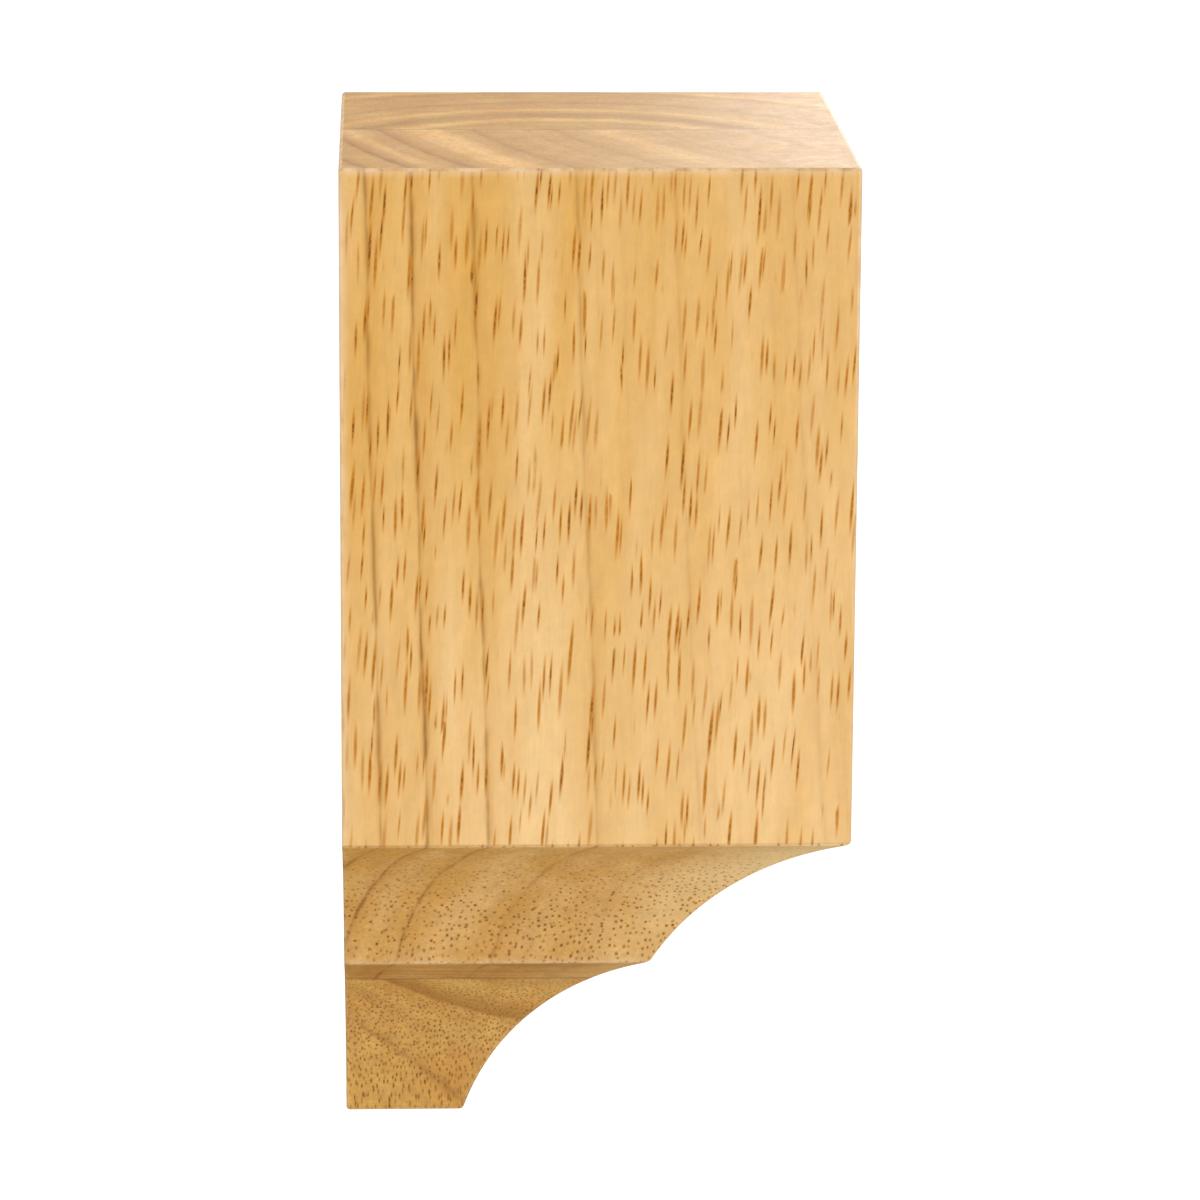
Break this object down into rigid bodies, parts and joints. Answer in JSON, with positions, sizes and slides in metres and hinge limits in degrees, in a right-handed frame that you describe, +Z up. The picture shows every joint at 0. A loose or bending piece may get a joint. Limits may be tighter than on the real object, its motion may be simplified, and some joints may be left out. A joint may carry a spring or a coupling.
{
  "type": "cornice corner block",
  "caption": "Wooden cornice block for an inside wall corner: flat back and left side, a plain fascia above stacked coves on the two free sides, mitred to a small foot.",
  "frame": {"origin": "on the back face, midway across its width and midway up the plain fascia", "axes": "front faces -Y, so +Y points out of the back face into the wall; +X is to the right seen from the front; +Z is up, along the grain"},
  "size_m": [0.07, 0.07, 0.1499],
  "materials": {
    "front_board_wood": "sanded bare wood, honey coloured, with open brown pores",
    "back_board_wood": "sanded bare wood, honey coloured, with fine close pores"
  },
  "bodies": {
    "root": {"front_board": "front_board_wood", "back_board": "back_board_wood"}
  },
  "joints": []
}
